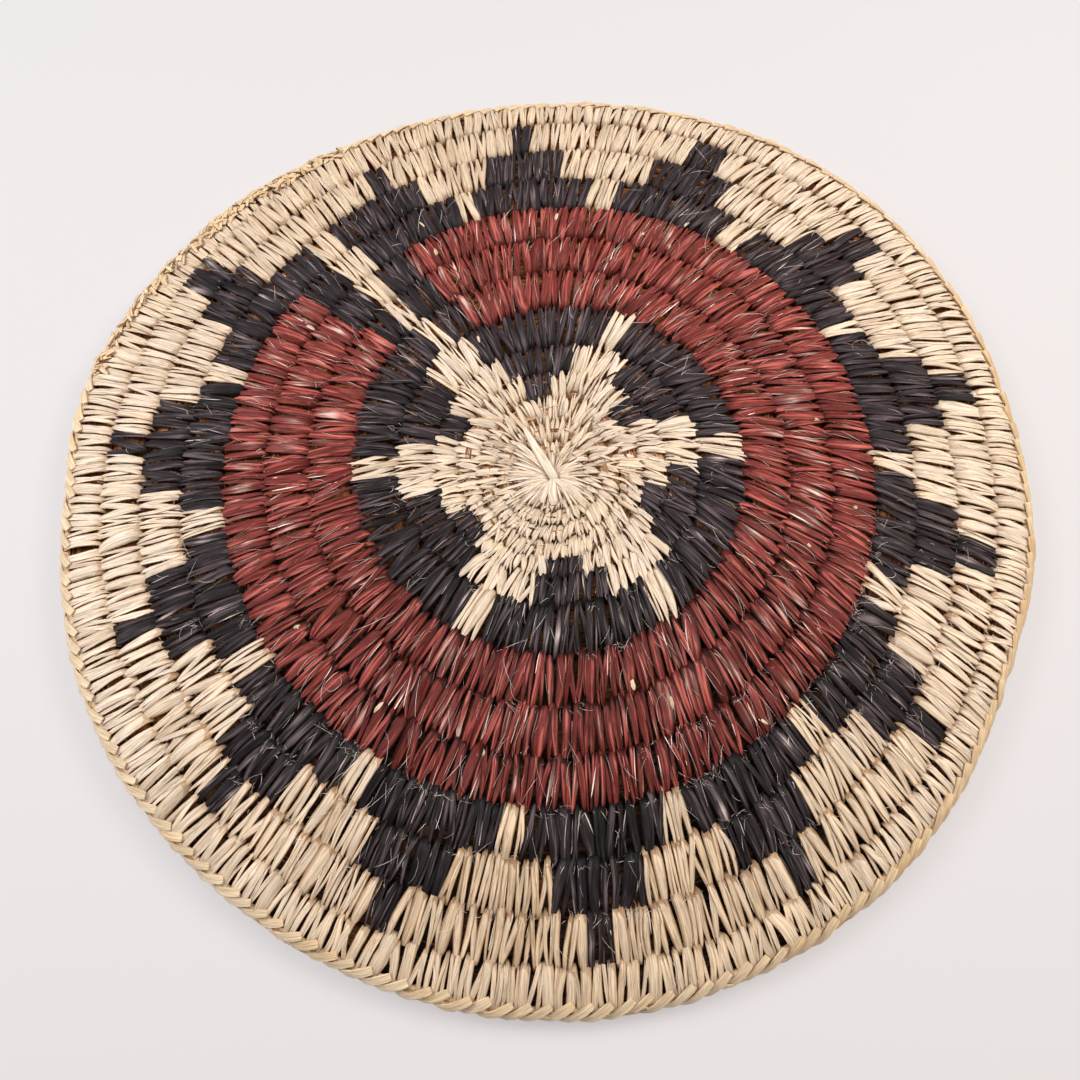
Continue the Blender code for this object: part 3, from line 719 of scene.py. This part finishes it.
def make_foundation():
    """The fibre bundle: a dark core with loose strands laid along it."""
    stations = np.linspace(0.002, COIL_TURNS, COIL_TURNS * 80 + 1)[None]
    inner, outer = row_edges(stations)
    across = outer - inner
    height = row_height(stations)
    outward, _ = axes_at(direction(stations))
    half = across * 0.42
    mid_level = 0.48
    # It is fuller and paler in the centre rows, and darker on the side at -Y, which is painted
    # shade
    fresh = smooth_share(stations, 8.6, 10.4)
    rise = 0.34 + 0.09 * fresh
    depth = 0.05 + 1.05 * np.clip(0.1 - 1.2 * np.sin(direction(stations)), 0, 1)
    # The core reaches the next rows, apart from the rim's outer side
    core_half = across * np.where(stations < 1, 0.48, 0.52)
    core_middle = inner + across * np.where(stations < 1, 0.46, 0.5)
    cosine, sine = np.cos(circle(10)), np.sin(circle(10))
    rings = in_section(outward[:, :, None], core_middle[..., None] + core_half[..., None] * cosine,
                       height[..., None] * (mid_level + rise[..., None] * sine))
    bundle = Splints()
    along = np.linspace(0, 1.5, stations.size)[None]
    bundle.add(rings[:, :, ::-1], along, sine[::-1] * half.mean(), depth, fresh,
               np.array((3.0,)))
    strands = 14
    knots = np.arange(0, COIL_TURNS + 0.2, 0.06)
    for strand in range(strands):
        around = np.pi * (-0.15 + 1.3 * (strand + 0.5) / strands)
        around = around + np.interp(stations, knots, bell(0, 0.20, len(knots)))
        lift = 1.0 + 0.06 * np.sin(stations * (50 + 3 * strand) + strand)
        middle = in_section(outward, (inner + outer) / 2 + half * lift * np.cos(around),
                            height * (mid_level + (rise + 0.01) * lift * np.sin(around)))
        radius = (0.42 + 0.2 * np.sin(stations * 37 + strand * 2)) * MM
        tint = np.clip(depth + spread(-0.2, 0.2), 0, 1)
        bundle.tubes(middle, radius, 4, tint, fresh)
    bundle.build("foundation_coil_fibres", FIBRE, "fibre_bundle", "foundation_coil")


def braid_bed(turns):
    """Radius and height of the rim under the braid, with the coil's end smoothed over."""
    turns = np.mod(turns, 1.0)
    near = 0.014
    share = np.where(turns > 0.5, turns - 1, turns) / near
    inside = np.abs(share) < 1
    share = (np.clip(share, -1, 1) + 1) / 2
    radius, height = row_edges(turns)[1], row_height(turns)
    first, last = row_edges(1 - near)[1], row_edges(near)[1]
    low, high = row_height(1 - near), row_height(near)
    return (np.where(inside, first + (last - first) * share, radius),
            np.where(inside, low + (high - low) * share, height))


# The braid's splints: along the rim and out from its edge in millimetres, share of the
# row's height, tilt of the flat side in degrees, share of the width
UPPER_BRAID = np.array((
    (-9.0, 0.6, 0.36, 88, 0.6), (-6.5, 1.6, 0.46, 78, 0.85), (-4.0, 2.0, 0.57, 64, 1.0),
    (-1.5, 1.75, 0.69, 48, 1.0), (1.0, 0.9, 0.80, 34, 1.0), (3.5, -0.6, 0.90, 22, 1.0),
    (5.7, -2.1, 0.965, 12, 0.92), (6.7, -2.8, 0.97, 8, 0.78)))
LOWER_BRAID = np.array((
    (-6.0, -0.6, 0.80, 30, 0.6), (-3.0, 0.9, 0.74, 50, 0.9), (0.0, 1.9, 0.60, 75, 1.0),
    (3.0, 2.2, 0.42, 92, 1.0), (6.0, 1.5, 0.22, 120, 1.0), (9.0, -0.6, 0.08, 160, 1.0),
    (12.0, -3.2, 0.07, 180, 0.9)))
RIM_LENGTH = 2 * math.pi * RIM_RADIUS


def make_braid():
    """Herringbone false braid: flat splints that cross over the rim's outer edge."""
    count = round(RIM_LENGTH / (6.5 * MM))
    turns = np.arange(count)[:, None] / count
    turns = turns + bell(0, 0.0005, turns.shape)
    braid = Splints()
    for path, wide in ((UPPER_BRAID, 3.0), (LOWER_BRAID, 2.6)):
        along, out, level, tilt, widths = path.T
        there = turns + along * MM / RIM_LENGTH
        edge, height = braid_bed(there)
        outward, _ = axes_at(direction(there))
        wander = bell(0, 0.22, turns.shape) * MM
        rise = bell(0, 0.12, turns.shape) * MM
        # It reaches less far in on the side at +X
        reach = np.where(out < 0, 1 - 0.55 * np.clip(np.cos(direction(there)), 0, 1), 1)
        middle = in_section(outward, edge + out * reach * MM + wander, height * level + rise)
        tilted = np.radians(tilt + bell(0, 4, turns.shape))
        normal = in_section(outward, np.sin(tilted), np.cos(tilted))
        half = widths * wide * MM / 2 * spread(0.88, 1.10, turns.shape)
        tint = 0.36 + 0.30 * np.cos(direction(turns)) + bell(0, 0.18, turns.shape)
        # The braid's splints get a little less painted shade on their sides than the stitches
        braid.ribbons(middle, normal, half, spread(0.08, 0.20, turns.shape) * MM,
                      spread(0.45, 0.6, turns.shape) * MM, np.clip(tint, 0, 1), 0.0, 0.8)
    # The crossed splints inside the braid, seen as brown cords in its gaps
    there = np.linspace(0, 1, 500)[None]
    edge, height = braid_bed(there)
    outward, _ = axes_at(direction(there))
    for out, level, radius, worn in ((0.2, 0.66, 1.7, 0.45), (-0.2, 0.38, 1.7, 0.45),
                                     (-1.0, 0.15, 1.7, 0.45), (-1.3, 0.81, 1.0, 0.15)):
        middle = in_section(outward, edge + out * MM, height * level)
        braid.tubes(middle, np.full(there.shape, radius * MM), 8, 1.0, worn)
    # By the coil's end the braid is doubled and untidy
    there = np.concatenate((spread(-0.004, 0.045, 110), spread(0.045, 0.115, 70),
                            spread(0.985, 1, 8)))[:, None]
    step = np.linspace(-1, 1, 6)
    heading = np.radians(bell(-8, 36, there.shape))
    reach = spread(1.1, 2.4, there.shape) * step * MM
    place = there + reach * np.cos(heading) / RIM_LENGTH
    out = spread(-5.2, -0.1, there.shape) + reach * np.sin(heading) / MM
    out = np.minimum(out, 0.3)
    outward, sideways = axes_at(direction(place))
    edge, height = braid_bed(place)
    level = height * np.interp(out, (-3.0, 0.0, 1.6), (0.99, 0.93, 0.74))
    lift = spread(0.3, 1.2, there.shape) - 0.5 * step ** 2
    middle = in_section(outward, edge + out * MM, level + lift * MM)
    tilted = np.radians(np.interp(out, (-3.0, 0.0, 2.6), (6, 30, 65)))
    normal = in_section(outward, np.sin(tilted), np.cos(tilted))
    normal = normal + sideways * bell(0, 0.4, there.shape)[..., None]
    half = spread(0.7, 1.25, there.shape) * MM * np.interp(step, (-1, 0, 1), (0.7, 1.0, 0.6))
    braid.ribbons(middle, normal, half, spread(0.08, 0.2, there.shape) * MM,
                  spread(0.35, 0.5, there.shape) * MM, spread(0.25, 1.0, there.shape))
    braid.build("rim_braid_splints", BRAID, "straw_splint", "rim_braid")


# The start knot's bundles of strands: direction and half spread in degrees, number of
# strands, shortest and longest reach, widest strand, bend and lift in millimetres
START_BUNDLES = (
    (187, 27, 30, 11, 19, 1.5, 1.6, 0.9), (224, 13, 13, 9, 15, 1.4, 1.2, 0.7),
    (250, 8, 6, 8, 12, 1.2, 0.4, 0.5), (287, 8, 6, 7, 12, 1.2, -0.3, 0.5),
    (318, 12, 13, 11, 17, 1.5, -1.2, 0.9), (343, 10, 10, 9, 14, 1.3, -1.2, 0.8),
    (8, 13, 13, 9, 14, 1.3, -1.4, 0.8), (37, 11, 8, 8, 13, 1.0, -1.2, 0.8),
    (64, 11, 7, 7, 12, 0.9, -0.6, 0.7), (91, 7, 5, 9, 14, 1.0, 0.0, 0.6),
    (134, 7, 9, 15, 20, 1.7, 0.5, 1.3), (154, 10, 9, 12, 17, 1.4, 0.9, 0.8))
KNOT_PLACE = np.array((1.0, 0.8, 0.0)) * MM
# Width along a splint of the knot, as shares of its widest: broad far out, or a point
PETAL_WIDTHS = (0.45, 0.65, 0.90, 1.0, 0.65)
POINT_WIDTHS = (0.92, 1.0, 0.92, 0.45, 0.10)


def make_start():
    """The start knot's fan of fine strands, and the broad tail that lies over it."""
    fan = Splints()
    step = np.linspace(0, 1, 9)
    for degrees, half_spread, count, short, long, wide, bend, lift in START_BUNDLES:
        angle = np.radians(degrees + np.linspace(-1, 1, count) * half_spread
                           + bell(0, 2.5, count))[:, None]
        outward, sideways = axes_at(angle)
        radial = 0.9 + spread(short, long, angle.shape) * step
        aside = (bend + bell(0, 0.7, angle.shape)) * step ** 2
        level = CENTRE_ROW_HEIGHT / MM * np.interp(step, (0, 0.10, 0.4, 0.8, 1),
                                                   (0.84, 1.0, 1.04, 1.02, 0.93))
        rise = (lift * spread(0.3, 1.2, angle.shape)
                * np.sin(np.pi * np.minimum(step * 1.1 + 0.08, 1)) + 0.2)
        middle = KNOT_PLACE + MM * in_section(outward, radial, level + rise, sideways, aside)
        normal = UP + sideways * bell(0, 0.3, angle.shape)[..., None]
        half = (np.interp(step, (0, 0.2, 0.6, 0.9, 1), (0.6, 0.85, 1.0, 0.6, 0.12))
                * (wide * spread(0.25, 0.55, angle.shape)) * MM)
        fan.ribbons(middle, normal, half, spread(0.02, 0.14, angle.shape) * MM,
                    spread(0.24, 0.36, angle.shape) * MM,
                    np.clip(bell(0.15, 0.2, angle.shape), 0, 1))
    # The core under the fan
    levels = np.array((0.0, 0.04, 0.5, 0.86, 0.92)) * CENTRE_ROW_HEIGHT
    sizes = np.array((4.8, 5.6, 5.8, 5.0, 2.4)) * MM
    around, _ = axes_at(circle(12))
    rings = in_section(around, sizes[:, None], levels[:, None])
    fan.add(rings[None, :, ::-1], levels[None], np.sin(circle(12)) * 3 * MM, 1.0, 0.7,
            np.array((9.0,)))
    for degrees, length, wide in ((266, 10.5, 3.9), (319, 12.5, 3.2), (240, 10.5, 2.2)):
        add_flat(fan, degrees, length, wide, 1.3, -0.5, 0.12, PETAL_WIDTHS)
    fan.build("start_knot_fan", STRAW, "straw_splint", "start_knot")

    tail = Splints()
    add_flat(tail, 115, 24.5, 3.9, 2.6, 0.3, 0.0, POINT_WIDTHS)
    add_flat(tail, 131, 20, 2.2, 1.8, -0.6, 0.1, PETAL_WIDTHS)
    add_flat(tail, 121, 17, 1.2, 1.6, 0.0, 0.2, POINT_WIDTHS)
    tail.build("start_tail_splint", STRAW, "straw_splint", "start_tail")


def add_flat(splints, degrees, length, wide, lift, bend, tint, widths):
    """One flat splint from the knot outward, in degrees and millimetres."""
    outward, sideways = axes_at(np.full((1, 1), math.radians(degrees)))
    step = np.linspace(0, 1, 13)
    radial = -0.6 + (length + 0.6) * step
    level = CENTRE_ROW_HEIGHT / MM + np.interp(step, (0, 0.05, 0.3, 0.88, 1),
                                               (lift - 1.2, lift, lift, lift * 0.7, lift * 0.2))
    aside = bend * np.sin(step * np.pi)
    middle = KNOT_PLACE + MM * in_section(outward, radial, level, sideways, aside)
    half = np.interp(step, (0, 0.12, 0.5, 0.9, 1), widths) * wide / 2 * MM
    splints.ribbons(middle, UP + 0.12 * sideways, half[None], 0.16 * MM, 0.45 * MM, tint)


def lay_hairs(hairs, turns, start, heading, length, curl, lift):
    """Fine fibres over the stitches, from their place, heading and length."""
    inner, outer = row_edges(turns)
    across = outer - inner
    outward, sideways = axes_at(direction(turns))
    step = np.linspace(-0.5, 0.5, 7)
    turned = heading + curl * (step * 3) ** 2 * np.sign(step)
    line = length * step
    radial = inner + across * start + line * np.cos(turned)
    share = (radial - inner) / across
    top = OUTER_STITCH[1:TOP_POINTS]
    surface = row_height(turns) * np.interp(share % 1.0, top[:, 0], top[:, 1])
    raised = (0.50 + lift * (1 - (2 * step) ** 2)) * MM
    middle = in_section(outward, radial, surface + raised, sideways, line * np.sin(turned))
    radius = spread(0.035, 0.095, turns.shape) * MM
    radius = radius * np.interp(np.abs(step), (0, 0.5), (1, 0.4))
    hairs.tubes(middle, radius, 3, RANDOM.beta(1.0, 2.0, turns.shape))


def make_hairs():
    """Fine stray fibres that lie on the stitches or curl out of the seams."""
    hairs = Splints()
    # Turns from and to, number, how far their headings stray, usual length in millimetres
    groups = ((4.0, 7.0, 420, 0.30, 7), (2.0, 4.0, 260, 0.45, 6), (7.0, 10.0, 170, 0.45, 6),
              (0.4, 2.0, 150, 0.6, 4.5), (10.0, 13.5, 170, 0.7, 5))
    for low, high, count, stray, usual in groups:
        column = (count, 1)
        turns = spread(low, high, column)
        length = np.minimum(RANDOM.gamma(3.0, usual / 3.0, column), 2.2 * usual) * MM
        heading = np.tan(lean_at(turns)) * -1 + bell(0, stray, column)
        curl = bell(0, 0.05, column) * np.where(spread(0, 1, column) < 0.10, 3.0, 1)
        lay_hairs(hairs, turns, spread(0.15, 0.85, column), heading, length, curl,
                  np.abs(bell(0, 0.4, column)))
    # Short tufts in the seams: some all over, and more on the side at -Y
    spots = [spread(0.9, 13.0, 70)]
    for low, high, first, last, count in ((0.25, 0.60, 4, 8, 26), (0.22, 0.63, 1, 4, 150)):
        spots.append(spread(low, high, count) + np.floor(spread(first, last, count)))
    turns = np.repeat(np.concatenate(spots), 6)[:, None]
    column = turns.shape
    turns = turns + bell(0, 0.006, column)
    lay_hairs(hairs, turns, bell(0.0, 0.07, column), bell(0, 0.9, column),
              RANDOM.gamma(4.0, 0.60, column) * MM, bell(0, 0.08, column),
              bell(-0.4, 0.45, column))
    hairs.build("stray_fibres", HAIR, "straw_splint")


# Undyed bits of splint: direction in degrees and share of the rim radius
FLECKS = np.array((
    (23.7, 0.46), (28.5, 0.46), (60.5, 0.62), (66.3, 0.625), (59.3, 0.69), (84.8, 0.635),
    (87, 0.635), (111.5, 0.60), (142.5, 0.63), (208.5, 0.585), (231, 0.57), (252.8, 0.565),
    (304.8, 0.63), (303.7, 0.53), (292.3, 0.51), (291.3, 0.41), (286, 0.45), (340, 0.535),
    (347, 0.535), (349.8, 0.62), (9, 0.57), (111.5, 0.68), (112, 0.36), (331, 0.30)))


def make_flecks():
    """Undyed bits of splint that show between the red and black stitches."""
    column = (len(FLECKS), 1)
    outward, sideways = axes_at(np.radians(FLECKS[:, :1]))
    radius = FLECKS[:, 1:] * RIM_RADIUS
    step = np.linspace(-1, 1, 6)
    length = spread(1.0, 2.2, column) * MM
    heading = bell(-0.1, 0.3, column)
    along = outward * np.cos(heading)[..., None] + sideways * np.sin(heading)[..., None]
    level = np.interp(radius, (0.3 * RIM_RADIUS, 0.5 * RIM_RADIUS), (12.2 * MM, 13.9 * MM))
    middle = in_section(outward, radius, level - 0.2 * MM - 0.6 * MM * step ** 2, along,
                        length * step)
    half = (spread(0.45, 0.85, column) * MM * np.sqrt(1.05 - step ** 2)
            * spread(0.8, 1.2, (len(FLECKS), 6)))
    flecks = Splints()
    flecks.ribbons(middle, UP, half, spread(0.1, 0.3, column) * MM,
                   spread(0.3, 0.5, column) * MM, spread(0.3, 1.0, column))
    flecks.build("undyed_flecks", STRAW, "straw_splint")


PALE_BACKDROP = colour(0.86, 0.825, 0.835)


def make_floor():
    """A pale floor, which the camera sees partly as plain light, so that its shadows
    are light and it has no visible far edge."""
    data = bpy.data.meshes.new("floor")
    size = 6.0
    data.from_pydata([(-size, -size, 0), (size, -size, 0), (size, size, 0), (-size, size, 0)], [],
                     [(0, 1, 2, 3)])
    floor = new_object("floor", data)
    material, tree, shader = new_material("pale_floor")
    place = linked(tree, "TexCoord", {})["Object"]
    # Painted light: the floor's colour is paler towards -Y, making up for the lamps' fall-off
    # there
    depth = ranged(tree, linked(tree, "SeparateXYZ", {0: place})[1], -0.34, 0.30)
    tone = mixed(tree, depth, colour(0.79, 0.765, 0.775), colour(0.61, 0.59, 0.60))
    connect(tree, shader, {"Base Color": tone, "Roughness": 0.8, "Specular IOR Level": 0.1})
    seen = linked(tree, "LightPath", {})["Is Camera Ray"]
    away = linked(tree, "VectorMath", {0: place}, operation="LENGTH")["Value"]
    far_off = ranged(tree, away, 0.30, 0.90)
    # Painted shade: the plain light seen from the floor is dimmer towards -Y
    glow = mixed(tree, depth, colour(0.74, 0.70, 0.705), colour(0.885, 0.85, 0.855))
    glow = mixed(tree, far_off, glow, PALE_BACKDROP)
    plain = linked(tree, "Emission", {"Color": glow})[0]
    share = math_node(tree, "MULTIPLY", seen, ranged(tree, far_off, 0.0, 1.0, 0.6))
    both = linked(tree, "MixShader", {0: share, 1: shader.outputs[0], 2: plain})[0]
    connect(tree, tree.nodes["Material Output"], {"Surface": both})
    data.materials.append(material)


def make_world():
    """Dim light from all round, and the pale backdrop that the camera sees."""
    world = bpy.data.worlds.new("studio")
    world.use_nodes = True
    bpy.context.scene.world = world
    tree = world.node_tree
    light = tree.nodes["Background"]
    connect(tree, light, {"Color": colour(1.0, 0.99, 0.985), "Strength": 0.20})
    shown = linked(tree, "Background", {"Color": PALE_BACKDROP, "Strength": 1.0})[0]
    seen = linked(tree, "LightPath", {})["Is Camera Ray"]
    both = linked(tree, "MixShader", {0: seen, 1: light.outputs[0], 2: shown})[0]
    connect(tree, tree.nodes["World Output"], {"Surface": both})


def add_lamp(name, place, size, power, tone):
    """A square lamp that points at the basket."""
    data = bpy.data.lights.new(name, "AREA")
    data.shape = "SQUARE"
    data.size = size
    data.energy = power
    data.color = tone
    lamp = new_object(name, data)
    lamp.location = place
    lamp.rotation_euler = (-Vector(place)).to_track_quat("-Z", "Y").to_euler()


def make_camera():
    """The photograph's view, from in front and high above."""
    sensor = 36
    focal_share = 806.1 / 1080
    azimuth, elevation = math.radians(-3.91), math.radians(72.92)
    # Distance and target in rim radii, and how high the target lies above the floor
    distance = 1.619
    target = Vector((-0.0325, -0.134, 0)) * RIM_RADIUS + Vector((0, 0, 13 * MM))
    back = Vector((math.sin(azimuth) * math.cos(elevation),
                   -math.cos(azimuth) * math.cos(elevation), math.sin(elevation)))
    data = bpy.data.cameras.new("camera")
    data.sensor_width = sensor
    data.lens = sensor * focal_share
    data.clip_start = 0.01
    data.clip_end = 50
    camera = new_object("camera", data)
    camera.location = target + back * distance * RIM_RADIUS
    camera.rotation_euler = (-back).to_track_quat("-Z", "Y").to_euler()
    bpy.context.scene.camera = camera


make_camera()
make_floor()
make_world()
add_lamp("back_lamp", (0.04, 0.55, 1.20), 0.6, 6.2, (1.0, 0.985, 0.975))
add_lamp("left_lamp", (-0.52, 0.12, 0.60), 0.30, 3.5, (1.0, 0.985, 0.985))
add_lamp("right_lamp", (0.52, 0.12, 0.60), 0.30, 4.05, (1.0, 0.915, 0.80))
make_foundation()
for node, runs, kind in pattern():
    stitches = Splints()
    add_stitches(stitches, runs, kind)
    stitches.build(f"{node}_stitches", KINDS[kind].material, KINDS[kind].slot, node)
make_start()
make_braid()
make_hairs()
make_flecks()
bpy.context.scene.view_settings.view_transform = "Standard"
